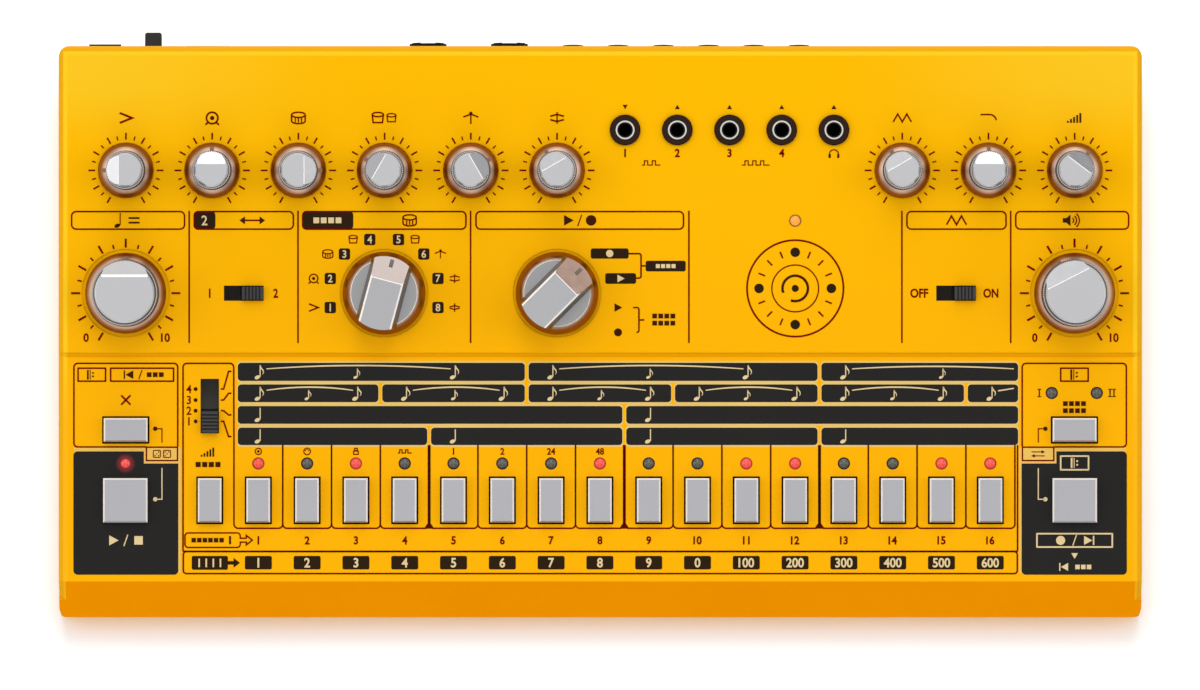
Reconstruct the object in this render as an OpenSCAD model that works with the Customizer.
// Desktop drum machine: a wedge-shaped two-part case with turned-look knobs, slide
// switches, a row of sixteen step keys, panel and rear sockets, boards and fasteners.
// Millimetres. X runs to the right, Y to the rear, Z up, and the feet stand on Z = 0.

/* [Case] */
// Width of the case
case_w = 305.8; // [303:0.2:310]
// Depth over everything, from the front lip to the tip of the power lever
total_d = 165.3; // [163:0.1:170]
// Height of the upper panel's plane at the rear wall
rear_h = 46.7; // [46:0.1:48]
// Slope of the panel, in degrees
slope = 6; // [5:0.25:7]
// Thickness of the case walls
wall = 2.4; // [2:0.1:2.8]
// Radius of the rounded top edges
edge_r = 2; // [1.2:0.1:2.2]
// Step down from the upper panel to the lower one
panel_step = 0.6; // [0.3:0.1:0.8]
// Height of the lip's lower edge at the front
lip_h = 17.6; // [16:0.2:19]
// Height of the parting line between the two case halves
split_h = 11; // [10:0.5:12]
// Height of the case's underside above the table
foot_gap = 2.6; // [2:0.1:3.5]

/* [Knobs] */
// Radius of the skirt of a small knob
small_skirt_r = 7.85; // [7.2:0.05:8.2]
// Height of a small knob above the panel
small_knob_h = 12.55; // [11:0.05:13.5]
// Teeth of the knurl on a small knob
small_teeth = 64; // [36:4:90]
// Radius of the skirt of a large knob
large_skirt_r = 11.4; // [11:0.05:11.8]
// Height of a large knob above the panel
large_knob_h = 14.6; // [13:0.1:15.5]
// Teeth of the knurl on a large knob
large_teeth = 104; // [60:4:130]
// Radius of a selector's base
selector_r = 11.7; // [11.4:0.05:11.9]
// Width of a selector's bar at its pointer end
bar_w = 11; // [9:0.1:12]

/* [Keys] */
// Width of a step key
step_key_w = 6.65; // [6.2:0.05:7]
// Depth of a step key
step_key_d = 12.5; // [12:0.05:12.8]
// Distance between neighbouring step keys
step_pitch = 13.77; // [13.6:0.01:13.9]
// Side of a large square key
square_key = 12.5; // [12:0.05:12.8]
// Height of the keys above the lower panel
key_h = 2.6; // [2:0.1:3.2]
// Travel of a key
key_travel = 0.8; // [0.5:0.05:0.9]

/* [Sockets] */
// Inner radius of a 3.5 mm jack
mini_bore_r = 1.8; // [1.78:0.01:1.85]
// Inner radius of the 6.35 mm output jack
output_bore_r = 3.2; // [3.18:0.01:3.3]
// Travel of the power lever
power_travel = 4; // [3:0.5:4]

/* [Hidden] */
$fn = 48;

// Colours
shell_colour = [0.98, 0.70, 0.03];
knob_colour = [0.78, 0.78, 0.80];
key_colour = [0.70, 0.70, 0.72];
black = [0.12, 0.12, 0.12];
board_colour = [0.10, 0.32, 0.16];
steel = [0.72, 0.72, 0.74];

// The case in side view
lever_out = 5.85;
rear_y = total_d / 2 - lever_out;
front_y = -total_d / 2;
edge_margin = 0.25;     // from the rear wall to the line that the panel is laid out from
panel_y = rear_y - edge_margin;
panel_h = rear_h - edge_margin * tan(slope);
crease_y = -86.3;       // the step in the panel, along the slope
crease_run = 1.3;
lip_y = -151.1;         // the bend into the front lip, along the slope
front_lean = 8;         // the wall under the lip leans in by this angle
base_inset = 1.5;
rear_corner_r = 3.4;
front_corner_r = 2.4;
lip_round = 7.9;        // length of the rounded upper part of the lip's ends
arc_steps = 8;
far = 200;

// The boards and what stands on them, as heights below the upper panel's surface
board_top = -12;
board_t = 1.6;
jack_board_top = 19;
lower_z = -panel_step;

// Control centres on the panel: x from the middle, y along the slope from the line of origin
knob_row_y = -35.1;
dial_row_y = -69.75;
knob_pitch = 24.33;
left_knob_x = -133.85;
right_knob_x = 85.2;
small_knob_xs = [for (i = [0:5]) left_knob_x + i * knob_pitch];
level_knob_xs = [for (i = [0:2]) right_knob_x + i * knob_pitch];
tempo_x = -133.9;
volume_x = 133.8;
instrument_x = -61;
mode_x = -12.2;
jack_row_y = -23.7;
jack_xs = [for (i = [0:4]) 7 + i * 14.73];
sound_x = -100.6;
distortion_x = 100.4;
scale_x = -110.2;
scale_y = -101.6;
step_x = -96.5;
step_y = -128.2;
side_key_y = -108.35;
led_row_y = -117.8;
group_led_y = -97.9;
beat_led = [55, -49.3];
group_led_xs = [127.4, 140.1];
led_r = 1.4;
led_hole_r = 1.75;
key_gap = 0.5;

// Pointer directions at rest, in degrees clockwise from straight up the panel
small_pointers = [-90, 0, 90, -60, 60, -30];
level_pointers = [-30, 0, 37];
tempo_pointer = 0;
volume_pointer = -27;
instrument_pointer = 15;
mode_pointer = 45;

// Shafts and bushings
shaft_r = 2.95;
shaft_bore_r = 3.04;
bushing_r = 3.5;
panel_hole_r = 3.8;
jack_thread_r = 2.65;
skirt_gap = 0.8;
dial_recess_r = 12.5;
dial_recess_depth = 0.35;

// Slide switches
slot_l = 11.2;
slot_w = 4.3;
lever_l = 5.9;
slide_travel = 5;
scale_slot_l = 15.4;
scale_slot_w = 5.2;
scale_lever_l = 6;
scale_travel = 9;
lever_h = 2;
slide_top = -3.4;

// Sockets on the rear wall
voice_x = -7.73;
voice_pitch = 12.8;
voice_z = 24;
voice_out = 2.55;
midi_xs = [-48.7, -25.7];
midi_out = 1.75;
midi_z = 29.5;
usb_x = -111.35;
usb_z = 25;
usb_out = 1.95;
dc_x = -140.2;
dc_z = 24.6;
dc_out = 2.25;
power_x = -126.6;
power_z = 26;
output_x = 92;
output_z = 27.5;

// Fasteners and feet
post_r = 3.2;
screw_r = 1.45;
post_points = [for (x = [-145.8, 145.8], y = [-66, 2, 53]) [x, y]];
front_posts = [[-45, -69], [45, -69]];
boss_points = [[-97.3, -50], [-30, -50], [30, -50], [97.3, -50],
               [-70, -100], [0, -100], [70, -100]];
jack_board_bosses = [[-126, 47], [-66, 47], [-90, 66], [72, 66], [101, 47], [8, 47]];
foot_points = [for (x = [-136, 136], y = [-64, 60]) [x, y]];

// ---- Helpers -------------------------------------------------------------------------

// A frame on the panel: x across, y up the slope, z out of the panel
module on_panel(x, y, z = 0) {
    translate([0, panel_y, panel_h])
        rotate([slope, 0, 0])
            translate([x, y, z])
                children();
}

// A frame on the rear wall: z points out of the wall, y up
module on_rear(x, z, out = 0) {
    translate([x, rear_y + out, z])
        rotate([-90, 0, 0])
            rotate([0, 0, 180])
                children();
}

// An outline in the Y-Z plane carried along X over the given width
module along_x(width, points) {
    translate([-width / 2, 0, 0])
        rotate([90, 0, 90])
            linear_extrude(width)
                polygon(points);
}

// A box centred in x and y that runs from z0 to z1
module block(w, d, z0, z1) {
    translate([-w / 2, -d / 2, z0])
        cube([w, d, z1 - z0]);
}

// A cylinder from z0 to z1
module rod(r, z0, z1) {
    translate([0, 0, z0])
        cylinder(r = r, h = z1 - z0);
}

// A ring from z0 to z1
module tube(r_out, r_in, z0, z1) {
    difference() {
        rod(r_out, z0, z1);
        rod(r_in, z0 - 1, z1 + 1);
    }
}

function arc(centre, r, from, to) =
    [for (i = [0:arc_steps]) centre + r * [cos(from + (to - from) * i / arc_steps),
                                           sin(from + (to - from) * i / arc_steps)]];

// A point of the panel's frame in the Y-Z plane
function panel_point(y, z) =
    [panel_y + y * cos(slope) - z * sin(slope), panel_h + y * sin(slope) + z * cos(slope)];

function left_normal(a, b) = [a[1] - b[1], b[0] - a[0]] / norm(b - a);

// The corner b between a and c, moved inward by d; the outline runs anticlockwise
function inset(a, b, c, d) =
    let (n1 = left_normal(a, b), n2 = left_normal(b, c))
        b + d * (n1 + n2) / (1 + n1 * n2);

function lean_y(z) = front_y + (lip_h - z) * tan(front_lean);

// ---- Case ----------------------------------------------------------------------------

// Side view of the upper shell, anticlockwise from its lower front corner
shell_side = [
    [lean_y(split_h), split_h],
    [rear_y, split_h],
    [rear_y, rear_h],
    panel_point(crease_y, 0),
    panel_point(crease_y - crease_run, lower_z),
    panel_point(lip_y, lower_z),
    [front_y, lip_h]];
shell_n = len(shell_side);
lip_top = shell_side[5];
lip_angle = atan2(lip_top[1] - lip_h, lip_top[0] - front_y);
rear_edge_centre = [rear_y - edge_r, rear_h - edge_r * (1 + sin(slope)) / cos(slope)];

module plan_outline() {
    x = case_w / 2;
    translate([0, 0, -1])
        linear_extrude(rear_h + 2)
            polygon(concat(
                arc([x - rear_corner_r, rear_y - rear_corner_r], rear_corner_r, 0, 90),
                arc([rear_corner_r - x, rear_y - rear_corner_r], rear_corner_r, 90, 180),
                arc([front_corner_r - x, front_y + front_corner_r], front_corner_r, 180, 270),
                arc([x - front_corner_r, front_y + front_corner_r], front_corner_r, 270, 360)));
}

// Cross-section with rounded upper corners, carried along -Y of the current frame
module rounded_bar(length) {
    x = case_w / 2;
    rotate([90, 0, 0])
        linear_extrude(length)
            polygon(concat(
                [[-x, -far], [x, -far]],
                arc([x - edge_r, -edge_r], edge_r, 0, 90),
                arc([edge_r - x, -edge_r], edge_r, 90, 180)));
}

module shell_form() {
    intersection() {
        along_x(case_w, concat(
            [shell_side[0], shell_side[1]],
            arc(rear_edge_centre, edge_r, 0, 90 + slope),
            [for (i = [3:shell_n - 1]) shell_side[i]]));
        plan_outline();
        union() {
            on_panel(0, far / 4)
                rounded_bar(far / 4 - crease_y + 0.3);
            on_panel(0, crease_y, lower_z)
                rounded_bar(far);
        }
        // the ends of the lip: rounded above, square below
        translate([0, lip_top[0], lip_top[1]])
            rotate([lip_angle, 0, 0])
                union() {
                    translate([0, far, 0])
                        rounded_bar(far + lip_round);
                    translate([-case_w / 2, -lip_round - far, -far])
                        cube([case_w, far, far + 1]);
                }
    }
}

module shell_cavity() {
    inner = [for (i = [2:shell_n - 1])
        inset(shell_side[i - 1], shell_side[i], shell_side[(i + 1) % shell_n], wall)];
    front = shell_side[0] + [wall / cos(front_lean), 0];
    along_x(case_w - 2 * wall, concat(
        [front - [0, 1], [rear_y - wall, split_h - 1]],
        inner,
        [front]));
}

// What the panel's openings take away, out of the upper panel
module panel_openings() {
    for (x = concat(small_knob_xs, level_knob_xs))
        on_panel(x, knob_row_y)
            rod(panel_hole_r, -far / 8, 1);
    for (x = [tempo_x, instrument_x, mode_x, volume_x])
        on_panel(x, dial_row_y) {
            rod(panel_hole_r, -far / 8, 1);
            rod(dial_recess_r, -dial_recess_depth, 1);
        }
    for (x = jack_xs)
        on_panel(x, jack_row_y)
            rod(3, -far / 8, 1);
    for (x = [sound_x, distortion_x])
        on_panel(x, dial_row_y)
            block(slot_l, slot_w, -far / 8, 1);
    on_panel(scale_x, scale_y)
        block(scale_slot_w, scale_slot_l, -far / 8, 1);
    on_panel(beat_led[0], beat_led[1])
        rod(led_hole_r, -far / 8, 1);
    for (p = lower_led_points())
        on_panel(p[0], p[1])
            rod(led_hole_r, -far / 8, 1);
    for (k = all_keys())
        on_panel(k[0], k[1])
            block(k[2] + 2 * key_gap, k[3] + 2 * key_gap, -far / 8, 1);
}

module rear_openings() {
    for (i = [0:5])
        on_rear(voice_x + i * voice_pitch, voice_z)
            rod(3.2, -4, 1);
    for (x = midi_xs)
        on_rear(x, midi_z)
            rod(7.9, -4, 1);
    on_rear(usb_x, usb_z)
        block(12.8, 11.6, -4, 1);
    on_rear(dc_x, dc_z)
        block(9.6, 11.4, -4, 1);
    on_rear(power_x + power_travel / 2, power_z)
        block(4.7 + power_travel + 0.8, 4.8, -4, 1);
    on_rear(output_x, output_z)
        rod(4.8, -4, 1);
}

// The posts under the panel that the case screws go up into
module shell_posts() {
    for (p = concat(post_points, front_posts))
        translate([p[0], p[1], 0])
            rod(post_r, split_h + 2, 45);
    for (p = boss_points)
        on_panel(p[0], p[1])
            rod(2.8, board_top + 0.05, lower_z - 1);
}

// Stiffening ribs behind the panel, between the boards' parts
module shell_ribs() {
    for (x = [-121.7, 121.7])
        on_panel(x, -52)
            block(1.4, 28, -6.5, -1);
    for (y = [-84, -144])
        on_panel(0, y)
            block(case_w - 4 * wall, 1.4, -6.5, -1);
}

module top_case() {
    color(shell_colour)
        difference() {
            union() {
                difference() {
                    shell_form();
                    shell_cavity();
                }
                intersection() {
                    union() {
                        shell_posts();
                        shell_ribs();
                    }
                    shell_form();
                }
            }
            panel_openings();
            rear_openings();
            for (p = concat(post_points, front_posts))
                translate([p[0], p[1], 0])
                    rod(1.5, split_h + 1, split_h + 12);
            for (p = boss_points)
                on_panel(p[0], p[1])
                    rod(1.2, board_top - 1, board_top + 6.5);
        }
}

// The lower tray: floor, walls, locating rim, screw bosses and board pillars
module bottom_case() {
    rim_h = 1.6;
    rim_gap = 0.15;
    floor_top = foot_gap + wall;
    color(shell_colour)
        difference() {
            union() {
                difference() {
                    tray_form(0, foot_gap, split_h);
                    tray_form(wall, floor_top, split_h + 1);
                }
                // the rim that centres the upper shell
                difference() {
                    tray_form(wall + rim_gap, split_h - 3, split_h + rim_h);
                    tray_form(wall + rim_gap + 1.3, split_h - 4, split_h + rim_h + 1);
                }
                tray_braces();
                for (p = concat(post_points, front_posts))
                    translate([p[0], p[1], 0])
                        rod(post_r + 0.8, foot_gap + 1, split_h + 1.9);
                for (p = jack_board_bosses)
                    translate([p[0], p[1], 0])
                        rod(3, foot_gap + 1, jack_board_top - board_t - 0.05);
                for (i = [-2:2])
                    translate([i * 50, -12, 0])
                        block(1.6, 96, floor_top - 0.5, floor_top + 3);
            }
            for (p = concat(post_points, front_posts))
                translate([p[0], p[1], 0]) {
                    rod(1.7, 0, split_h + 3);
                    rod(3.1, 0, foot_gap + 3.2);
                }
            for (p = jack_board_bosses)
                translate([p[0], p[1], 0])
                    rod(1.2, foot_gap + 6, far / 2);
            for (p = foot_points)
                translate([p[0], p[1], 0])
                    rod(6.6, 0, foot_gap + 0.8);
        }
}

// Short walls that stand the tray's rim on its side walls
module tray_braces() {
    difference() {
        tray_form(wall - 0.2, split_h - 3, split_h);
        tray_form(wall + 1.45, split_h - 4, split_h + 1);
    }
}

// The tray's body inset by d from its outer faces, between two heights
module tray_form(d, z0, z1) {
    x = case_w / 2 - d;
    // only the outer form has chamfered lower edges
    cut = d == 0 ? base_inset : 0;
    intersection() {
        along_x(case_w, [
            [lean_y(z0) + d, z0],
            [rear_y - d - cut, z0],
            [rear_y - d, z0 + base_inset],
            [rear_y - d, z1],
            [lean_y(z1) + d, z1]]);
        rotate([90, 0, 0])
            translate([0, 0, -far / 2])
                linear_extrude(far)
                    polygon([
                        [cut - x, z0],
                        [x - cut, z0],
                        [x, z0 + base_inset],
                        [x, z1],
                        [-x, z1],
                        [-x, z0 + base_inset]]);
        plan_outline();
    }
}

// ---- Boards --------------------------------------------------------------------------

module control_board() {
    color(board_colour)
        difference() {
            union() {
                on_panel(0, -84)
                    block(281, 110.4, board_top - board_t, board_top);
                on_panel(36.5, -24)
                    block(74, 14, board_top - board_t, board_top);
            }
            for (p = boss_points)
                on_panel(p[0], p[1])
                    rod(1.6, board_top - 3, board_top + 1);
        }
}

module jack_board() {
    color(board_colour)
        difference() {
            translate([-22, 57.5, 0])
                block(256, 31, jack_board_top - board_t, jack_board_top);
            for (p = jack_board_bosses)
                translate([p[0], p[1], 0])
                    rod(1.6, 0, far / 2);
            // an open slot round the case's screw post
            translate([post_points[2][0], post_points[2][1], 0]) {
                rod(post_r + 1, 0, far / 2);
                translate([-post_r - 2, 0, 0])
                    block(2 * post_r + 4, 2 * post_r + 2, 0, far / 2);
            }
        }
}

// Flat cable that folds down from the control board to the board behind it
module ribbon_cable() {
    cable_x = 28;
    cable_w = 26;
    header_w = cable_w + 2;
    cable_t = 0.8;
    upper = panel_point(-42, board_top - board_t - 5.5);
    lower = [50, jack_board_top + 6.5];
    bend = [(upper[0] + lower[0]) / 2, lower[1] - 2];
    color([0.55, 0.55, 0.58])
        union() {
            translate([cable_x, 0, 0])
                along_x(cable_w, [
                    upper - [0, cable_t],
                    bend - [0, cable_t],
                    lower - [0, cable_t],
                    lower,
                    bend,
                    upper]);
            translate([cable_x, lower[0], 0])
                block(header_w, 4.6, jack_board_top + 0.05, jack_board_top + 7);
            on_panel(cable_x, -42)
                block(header_w, 4.6, board_top - board_t - 6, board_top - board_t - 0.05);
        }
}

// ---- Parts on the control board ------------------------------------------------------

// A square-bodied control with a bushing and a blind bore for its shaft
module shaft_body(w, d) {
    difference() {
        union() {
            block(w, d, board_top + 0.05, -4);
            rod(bushing_r, -5, -0.5);
            for (side = [-1, 1])
                translate([side * w / 2, 0, 0])
                    block(1, d * 0.5, board_top + 0.05, board_top + 3);
            for (i = [-1:1])
                translate([i * 2.5, -d / 2, 0])
                    block(0.9, 1, board_top + 0.05, board_top + 4.5);
        }
        rod(shaft_bore_r, -9.6, 1);
    }
}

module potentiometers() {
    color(steel) {
        for (x = concat(small_knob_xs, level_knob_xs))
            on_panel(x, knob_row_y)
                shaft_body(9.8, 11);
        for (x = [tempo_x, volume_x])
            on_panel(x, dial_row_y)
                shaft_body(9.8, 11);
    }
}

module rotary_switches() {
    color(steel)
        for (x = [instrument_x, mode_x])
            on_panel(x, dial_row_y)
                shaft_body(17, 17);
}

// A slide switch's metal body: long runs along the current y
module slide_body(w, l, slot_across, slot_along, top) {
    difference() {
        block(w, l, board_top + 0.05, top);
        block(slot_across, slot_along, top - 2, top + 1);
        block(w - 1.6, l - 1.6, board_top + 1, top - 1);
    }
}

module slide_switches() {
    color(black) {
        for (x = [sound_x, distortion_x])
            on_panel(x, dial_row_y)
                rotate([0, 0, 90])
                    slide_body(7.6, 15, slot_w, slot_l, slide_top);
        on_panel(scale_x, scale_y)
            slide_body(8.4, 20, scale_slot_w, scale_slot_l, slide_top + lower_z);
    }
}

// A ribbed finger piece on its stem and carriage; ribs lie across the current y
module slider(w, l, carriage_w, carriage_l, surface) {
    ribs = 5;
    pitch = (l - 1) / ribs;
    top = surface + lever_h;
    difference() {
        union() {
            block(w, l, -7.6, top);
            block(carriage_w, carriage_l, -10.4, -7.4);
        }
        for (i = [0:ribs - 1])
            translate([0, (i - (ribs - 1) / 2) * pitch, 0])
                block(w + 1, pitch * 0.45, top - 0.6, top + 1);
    }
}

module sound_select_slider() {
    color(black)
        on_panel(sound_x + slide_travel / 2, dial_row_y)
            rotate([0, 0, 90])
                slider(slot_w - 0.6, lever_l, 4.8, 7.2, 0);
}

module distortion_slider() {
    color(black)
        on_panel(distortion_x + slide_travel / 2, dial_row_y)
            rotate([0, 0, 90])
                slider(slot_w - 0.6, lever_l, 4.8, 7.2, 0);
}

module scale_slider() {
    color(black)
        on_panel(scale_x, scale_y - scale_travel / 2)
            slider(scale_slot_w - 0.6, scale_lever_l, 5.6, 7.4, lower_z);
}

// Push switches under the keys, each with a square can and a bore for its plunger
module key_switches() {
    color(black)
        for (k = all_keys())
            on_panel(k[0], k[1])
                difference() {
                    union() {
                        block(6, 6, board_top + 0.05, board_top + 3.6);
                        for (sx = [-1, 1], sy = [-1, 1])
                            translate([sx * 3.4, sy * 2.2, 0])
                                block(1, 0.8, board_top + 0.05, board_top + 1.4);
                    }
                    rod(1.95, board_top - 1, board_top + 5);
                }
}

module panel_jacks() {
    color(steel)
        for (x = jack_xs)
            on_panel(x, jack_row_y)
                difference() {
                    union() {
                        block(9.4, 10.6, board_top + 0.05, -wall - 0.05);
                        rod(jack_thread_r, -wall - 1, 1.5);
                    }
                    rod(mini_bore_r, -4.5, 3);
                    rod(2.1, board_top + 0.8, -4.5);
                }
}

// ---- Lamps ---------------------------------------------------------------------------

lit_steps = [1, 3, 8, 11, 12, 15, 16];
function step_led(i) = [step_x + (i - 1) * step_pitch, led_row_y];
function start_led() = [-134, led_row_y];
function is_lit(i) = len(search(i, lit_steps)) > 0;
function lower_led_points() = concat(
    [for (i = [1:16]) step_led(i)],
    [start_led()],
    [for (x = group_led_xs) [x, group_led_y]]);

module led(surface) {
    rod(led_r, surface - 6, surface - 0.2);
    translate([0, 0, surface - 0.2])
        intersection() {
            translate([0, 0, -1.1])
                sphere(r = 1.86);
            rod(led_r, -0.1, 1);
        }
    rod(1.9, board_top + 0.05, surface - 6);
}

module lit_leds() {
    color([1, 0.35, 0.33]) {
        for (i = [1:16])
            if (is_lit(i))
                on_panel(step_led(i)[0], step_led(i)[1])
                    led(lower_z);
        on_panel(start_led()[0], start_led()[1])
            led(lower_z);
    }
}

module unlit_leds() {
    color([0.43, 0.40, 0.35]) {
        for (i = [1:16])
            if (!is_lit(i))
                on_panel(step_led(i)[0], step_led(i)[1])
                    led(lower_z);
        for (x = group_led_xs)
            on_panel(x, group_led_y)
                led(lower_z);
        on_panel(beat_led[0], beat_led[1])
            led(0);
    }
}

// ---- Keys ----------------------------------------------------------------------------

// Each key: x, y, width, depth
function side_keys() = [
    [scale_x, step_y, step_key_w, step_key_d],
    [-133.9, side_key_y, 12.35, 6.75],
    [-134, step_y, square_key, square_key],
    [133.8, side_key_y, 12.35, 6.75],
    [133.85, step_y, square_key, square_key]];
function step_keys() =
    [for (i = [0:15]) [step_x + i * step_pitch, step_y, step_key_w, step_key_d]];
function all_keys() = concat(side_keys(), step_keys());

// A key cap with bevelled upper edges, a retaining flange, a stem and a plunger
module key(k) {
    w = k[2];
    d = k[3];
    bevel = 0.45;
    flange = 0.95;
    top = lower_z + key_h;
    flange_top = lower_z - wall - 0.3;
    stem_end = board_top + 4.8;
    on_panel(k[0], k[1])
        color(key_colour)
            union() {
                difference() {
                    intersection() {
                        rotate([90, 0, 0])
                            translate([0, 0, -d / 2])
                                linear_extrude(d)
                                    bevelled(w, flange_top - 1.2, top, bevel);
                        rotate([90, 0, 90])
                            translate([0, 0, -w / 2])
                                linear_extrude(w)
                                    bevelled(d, flange_top - 1.2, top, bevel);
                    }
                    block(w - 2.4, d - 2.4, flange_top - 2, top - 1.6);
                }
                difference() {
                    block(w + 2 * flange, d + 2 * flange, flange_top - 1.2, flange_top);
                    block(w - 2.4, d - 2.4, flange_top - 2, flange_top + 1);
                }
                block(3, 3, stem_end, top - 1);
                rod(1.8, board_top + key_travel + 0.3, stem_end + 0.5);
            }
}

module bevelled(w, z0, z1, b) {
    polygon([[-w / 2, z0], [w / 2, z0], [w / 2, z1 - b], [w / 2 - b, z1],
             [b - w / 2, z1], [-w / 2, z1 - b]]);
}

module step_key(i) {
    key(step_keys()[i - 1]);
}

// ---- Knobs ---------------------------------------------------------------------------

// Outline of a knurled cylinder: pointed teeth at an even pitch
module knurl_outline(r, teeth, depth) {
    polygon([for (i = [0:2 * teeth - 1])
        (i % 2 == 0 ? r : r - depth) * [cos(180 * i / teeth), sin(180 * i / teeth)]]);
}

// The shaft of a control, with the flat that drives the knob
module shaft(top) {
    difference() {
        rod(shaft_r, -9, top);
        translate([-5, 1.6, 1])
            cube([10, 5, 30]);
    }
}

// A flared skirt under a knurled grip, a chamfered top and a facet that slopes to the pointer
module pointer_knob(skirt_r, grip_r, cap_r, h, teeth, facet_at, facet_angle) {
    shoulder_z = 3.8;
    rim_z = 3.15;
    cap_bevel = 0.45;
    teeth_depth = 0.4;
    teeth_top = h - 1;
    hub_top = h - 2.2;
    difference() {
        union() {
            rotate_extrude($fn = 72)
                polygon([
                    [0, skirt_gap],
                    [skirt_r, skirt_gap],
                    [skirt_r, skirt_gap + 0.6],
                    [skirt_r - 0.3, skirt_gap + 1.3],
                    [skirt_r - 1.2, rim_z],
                    [grip_r + 0.15, shoulder_z],
                    [0, shoulder_z]]);
            translate([0, 0, shoulder_z - 0.5])
                linear_extrude(teeth_top - shoulder_z + 0.5)
                    knurl_outline(grip_r, teeth, teeth_depth);
            rotate_extrude($fn = 72)
                polygon([
                    [0, teeth_top - 0.01],
                    [grip_r - teeth_depth - 0.02, teeth_top - 0.01],
                    [cap_r + cap_bevel, h - cap_bevel],
                    [cap_r, h],
                    [0, h]]);
            // the raised pointer on the skirt
            translate([-0.55, grip_r - 0.5, rim_z - 0.5])
                cube([1.1, skirt_r - grip_r - 0.55, 1.5]);
        }
        // the sloping facet
        translate([0, facet_at, h])
            rotate([-facet_angle, 0, 0])
                translate([-20, 0, 0])
                    cube([40, 40, 20]);
        knob_underside(skirt_r - 1.3, 4.3, shoulder_z - 1.4);
        intersection() {
            rod(shaft_r, -1, hub_top);
            translate([-5, -5, -1])
                cube([10, 6.6, 30]);
        }
    }
    shaft(hub_top);
}

// The hollow between a knob's skirt and its hub
module knob_underside(r_out, r_in, top) {
    rotate_extrude($fn = 72)
        polygon([[r_in, 0], [r_out, 0], [r_out, top - 0.6], [r_out - 0.6, top], [r_in, top]]);
}

module small_knob(x, pointer) {
    on_panel(x, knob_row_y)
        rotate([0, 0, -pointer])
            color(knob_colour)
                pointer_knob(small_skirt_r, 5.45, 4.35, small_knob_h, small_teeth, 1.8, 24);
}

module large_knob(x, pointer) {
    on_panel(x, dial_row_y)
        rotate([0, 0, -pointer])
            color(knob_colour)
                pointer_knob(large_skirt_r, 9.35, 8, large_knob_h, large_teeth, 4.5, 24);
}

// A round base with a raised bar across it; the bar slopes down to its pointer end
module selector_knob(x, pointer) {
    base_z = 5.2;
    tail_w = bar_w - 0.8;
    on_panel(x, dial_row_y)
        rotate([0, 0, -pointer])
            color(knob_colour) {
                difference() {
                    union() {
                        rotate_extrude($fn = 72)
                            polygon([
                                [0, skirt_gap],
                                [selector_r, skirt_gap],
                                [selector_r, skirt_gap + 0.9],
                                [selector_r - 0.4, skirt_gap + 2],
                                [selector_r - 1.2, base_z - 0.6],
                                [selector_r - 1.8, base_z],
                                [selector_r - 2.15, base_z],
                                [selector_r - 2.25, base_z - 0.2],
                                [selector_r - 2.4, base_z - 0.2],
                                [selector_r - 2.5, base_z],
                                [0, base_z]]);
                        intersection() {
                            rod(selector_r - 1.3, skirt_gap + 1, large_knob_h);
                            translate([0, 20, 0])
                                rotate([90, 0, 0])
                                    linear_extrude(40)
                                        polygon([
                                            [-tail_w / 2 - 1, 0],
                                            [tail_w / 2 + 1, 0],
                                            [tail_w / 2 + 0.75, base_z],
                                            [tail_w / 2 - 0.35, large_knob_h - 0.5],
                                            [tail_w / 2 - 0.85, large_knob_h],
                                            [0.85 - tail_w / 2, large_knob_h],
                                            [0.35 - tail_w / 2, large_knob_h - 0.5],
                                            [-tail_w / 2 - 0.75, base_z]]);
                        }
                    }
                    translate([0, 3.6, large_knob_h])
                        rotate([-26, 0, 0])
                            translate([-20, 0, 0])
                                cube([40, 40, 20]);
                    // the pointer's notch, sunk into the sloping end
                    translate([0, 8.9, 0])
                        block(1.1, 2.8, large_knob_h - 3, large_knob_h);
                    knob_underside(selector_r - 1.7, 4.4, 3.8);
                    intersection() {
                        rod(shaft_r, -1, large_knob_h - 2.4);
                        translate([-5, -5, -1])
                            cube([10, 6.6, 30]);
                    }
                }
                shaft(large_knob_h - 2.4);
            }
}

module accent_knob() { small_knob(small_knob_xs[0], small_pointers[0]); }
module bass_drum_knob() { small_knob(small_knob_xs[1], small_pointers[1]); }
module snare_drum_knob() { small_knob(small_knob_xs[2], small_pointers[2]); }
module tom_knob() { small_knob(small_knob_xs[3], small_pointers[3]); }
module cymbal_knob() { small_knob(small_knob_xs[4], small_pointers[4]); }
module hi_hat_knob() { small_knob(small_knob_xs[5], small_pointers[5]); }
module distortion_knob() { small_knob(level_knob_xs[0], level_pointers[0]); }
module tone_knob() { small_knob(level_knob_xs[1], level_pointers[1]); }
module level_knob() { small_knob(level_knob_xs[2], level_pointers[2]); }
module tempo_knob() { large_knob(tempo_x, tempo_pointer); }
module volume_knob() { large_knob(volume_x, volume_pointer); }
module instrument_selector() { selector_knob(instrument_x, instrument_pointer); }
module mode_selector() { selector_knob(mode_x, mode_pointer); }

module function_key() { key(side_keys()[0]); }
module clear_key() { key(side_keys()[1]); }
module start_stop_key() { key(side_keys()[2]); }
module pattern_group_key() { key(side_keys()[3]); }
module write_next_key() { key(side_keys()[4]); }

// ---- Rear sockets --------------------------------------------------------------------

module voice_out_jacks() {
    color(black)
        for (i = [0:5])
            on_rear(voice_x + i * voice_pitch, voice_z)
                difference() {
                    union() {
                        block(10, 9.9, -14, -wall - 0.05);
                        rod(3, -wall - 1, voice_out);
                    }
                    rod(mini_bore_r, -5, 4);
                    rod(2.1, -13, -5);
                }
}

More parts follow.
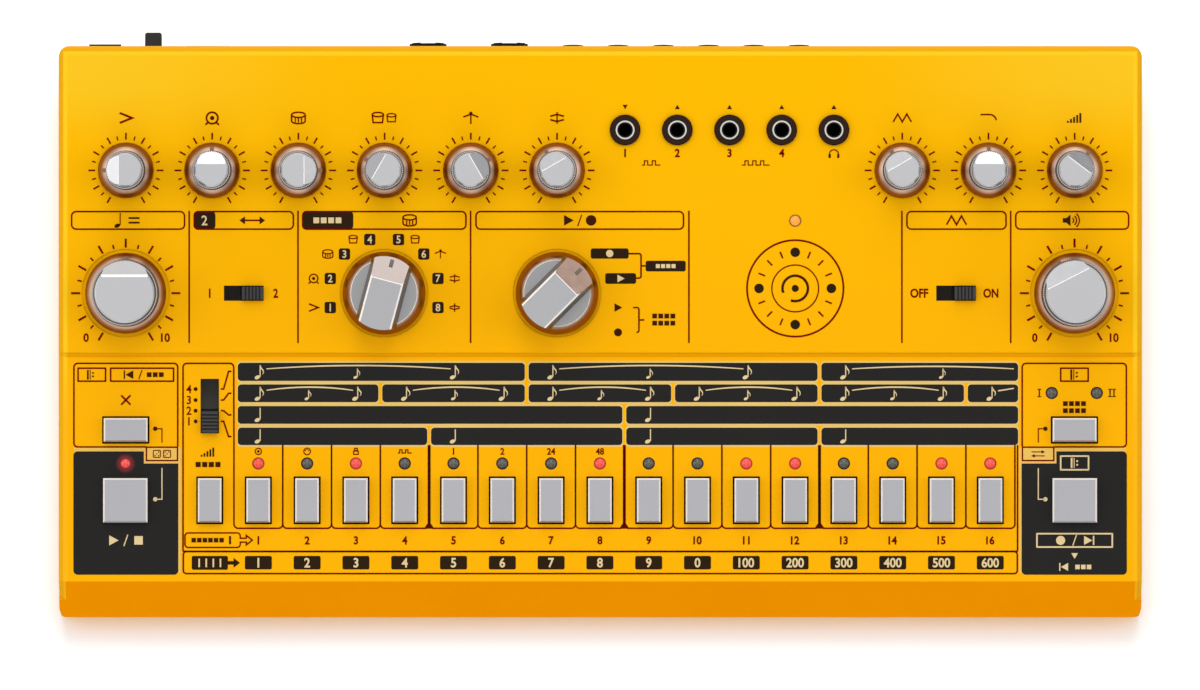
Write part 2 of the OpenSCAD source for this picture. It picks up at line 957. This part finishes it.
// Threaded rings that hold the jacks to the panel and to the rear wall
module jack_nuts() {
    color(black) {
        for (x = jack_xs)
            on_panel(x, jack_row_y)
                nut_ring(4.35, jack_thread_r + 0.05, 0.02, 1.2);
        for (i = [0:5])
            on_rear(voice_x + i * voice_pitch, voice_z)
                nut_ring(4, 3.05, 0.02, voice_out - 0.35);
    }
}

module nut_ring(r_out, r_in, z0, z1) {
    difference() {
        rotate_extrude()
            polygon([[r_in, z0], [r_out, z0], [r_out, z1 - 0.3], [r_out - 0.3, z1], [r_in, z1]]);
        for (a = [0:90:270])
            rotate([0, 0, a])
                translate([r_out, 0, 0])
                    block(0.7, 1, z1 - 0.5, z1 + 1);
    }
}

module midi_sockets() {
    pin_r = 4.9;
    color(black)
        for (x = midi_xs)
            on_rear(x, midi_z) {
                difference() {
                    union() {
                        block(18, 20, -16, -wall - 0.05);
                        rod(7.6, -wall - 1, midi_out - 0.75);
                        // the face stands further out in its middle, with two small latches
                        intersection() {
                            rod(7.6, -wall - 1, midi_out + 0.2);
                            union() {
                                block(10.4, 16, 0, midi_out);
                                for (side = [-1, 1])
                                    translate([side * 3.25, 0, 0])
                                        block(2.4, 16, 0, midi_out + 0.2);
                            }
                        }
                    }
                    tube(6.85, 6, -9, 3);
                    for (a = [-90, -45, 0, 45, 90])
                        rotate([0, 0, a])
                            translate([0, -pin_r, 0])
                                rod(0.75, -9, 3);
                    rod(6.4, 0.6, 3);
                    translate([0, 6.5, 0])
                        block(2.6, 1.2, -2, 3);
                }
            }
}

module usb_socket() {
    color(steel)
        on_rear(usb_x, usb_z)
            difference() {
                block(12.1, 11, -15.5, usb_out);
                difference() {
                    bevelled_hole();
                    block(5.6, 3.2, -9, 1);
                }
            }
}

// The plug's opening: a square with two cut corners, open at the face
module bevelled_hole() {
    translate([0, 0, -9.5])
        linear_extrude(14)
            polygon([[-4.25, -3.9], [4.25, -3.9], [4.25, 2.4], [2.75, 3.9], [-2.75, 3.9],
                     [-4.25, 2.4]]);
}

module dc_inlet() {
    color(black)
        on_rear(dc_x, dc_z)
            union() {
                difference() {
                    block(9, 10.8, -13, dc_out);
                    translate([0, 0.6, 0])
                        rod(2.95, -9.5, 4);
                }
                translate([0, 0.6, 0])
                    rod(1, -10, -0.6);
            }
}

module power_switch() {
    color(black)
        on_rear(power_x + power_travel / 2, power_z)
            difference() {
                translate([0, -2.5, 0])
                    block(11.6, 9, -11, -wall - 0.05);
                block(4.7 + power_travel + 0.8, 4.8, -5, 0);
                block(10, 5.6, -9.8, -4.5);
            }
}

module power_switch_lever() {
    color(black)
        on_rear(power_x, power_z)
            difference() {
                union() {
                    block(4.7, 4, -7.2, lever_out);
                    block(5.4, 5, -9.3, -7);
                }
                for (side = [-1, 1])
                    translate([side * 2.35, 0, lever_out])
                        rotate([0, 45, 0])
                            cube([0.6, 6, 0.6], center = true);
            }
}

module output_jack() {
    color(black)
        on_rear(output_x, output_z)
            difference() {
                union() {
                    block(14.6, 16.4, -22, -wall - 0.05);
                    rod(4.5, -wall - 1, 1.2);
                    tube(6.4, 4.55, 0.02, 0.8);
                }
                rod(output_bore_r, -10, 4);
                rod(3.6, -20, -10);
            }
}

// ---- Fasteners and feet --------------------------------------------------------------

// A pan-head screw that points up from its head at z = 0
module screw(shank_r, length, head_r, head_h) {
    difference() {
        union() {
            rod(head_r, 0, head_h);
            rod(shank_r, 0, length);
        }
        for (a = [0, 90])
            rotate([0, 0, a])
                block(head_r * 1.1, 0.6, -1, head_h * 0.5);
    }
}

module case_screws() {
    color(steel)
        for (p = concat(post_points, front_posts))
            translate([p[0], p[1], foot_gap + 1.1])
                screw(screw_r, 18, 2.9, 2.05);
}

module board_screws() {
    color(steel) {
        for (p = boss_points)
            on_panel(p[0], p[1], board_top - board_t - 1.7)
                screw(1.15, 7.5, 2.4, 1.65);
        for (p = jack_board_bosses)
            translate([p[0], p[1], jack_board_top + 1.7])
                mirror([0, 0, 1])
                    screw(1.15, 7.5, 2.4, 1.65);
    }
}

module rubber_feet() {
    color([0.1, 0.1, 0.1])
        for (p = foot_points)
            translate([p[0], p[1], 0])
                rotate_extrude()
                    polygon([[0, 0], [5.3, 0], [5.9, 0.6], [6.4, foot_gap + 0.75],
                             [0, foot_gap + 0.75]]);
}

// ---- Output --------------------------------------------------------------------------

top_case();
bottom_case();
control_board();
jack_board();
potentiometers();
rotary_switches();
slide_switches();
key_switches();
panel_jacks();
voice_out_jacks();
jack_nuts();
midi_sockets();
usb_socket();
dc_inlet();
power_switch();
output_jack();
lit_leds();
unlit_leds();
ribbon_cable();
case_screws();
board_screws();
rubber_feet();
accent_knob();
bass_drum_knob();
snare_drum_knob();
tom_knob();
cymbal_knob();
hi_hat_knob();
distortion_knob();
tone_knob();
level_knob();
tempo_knob();
volume_knob();
instrument_selector();
mode_selector();
sound_select_slider();
distortion_slider();
scale_slider();
function_key();
clear_key();
start_stop_key();
pattern_group_key();
write_next_key();
power_switch_lever();
step_key(1);  // step_key_01
step_key(2);  // step_key_02
step_key(3);  // step_key_03
step_key(4);  // step_key_04
step_key(5);  // step_key_05
step_key(6);  // step_key_06
step_key(7);  // step_key_07
step_key(8);  // step_key_08
step_key(9);  // step_key_09
step_key(10);  // step_key_10
step_key(11);  // step_key_11
step_key(12);  // step_key_12
step_key(13);  // step_key_13
step_key(14);  // step_key_14
step_key(15);  // step_key_15
step_key(16);  // step_key_16
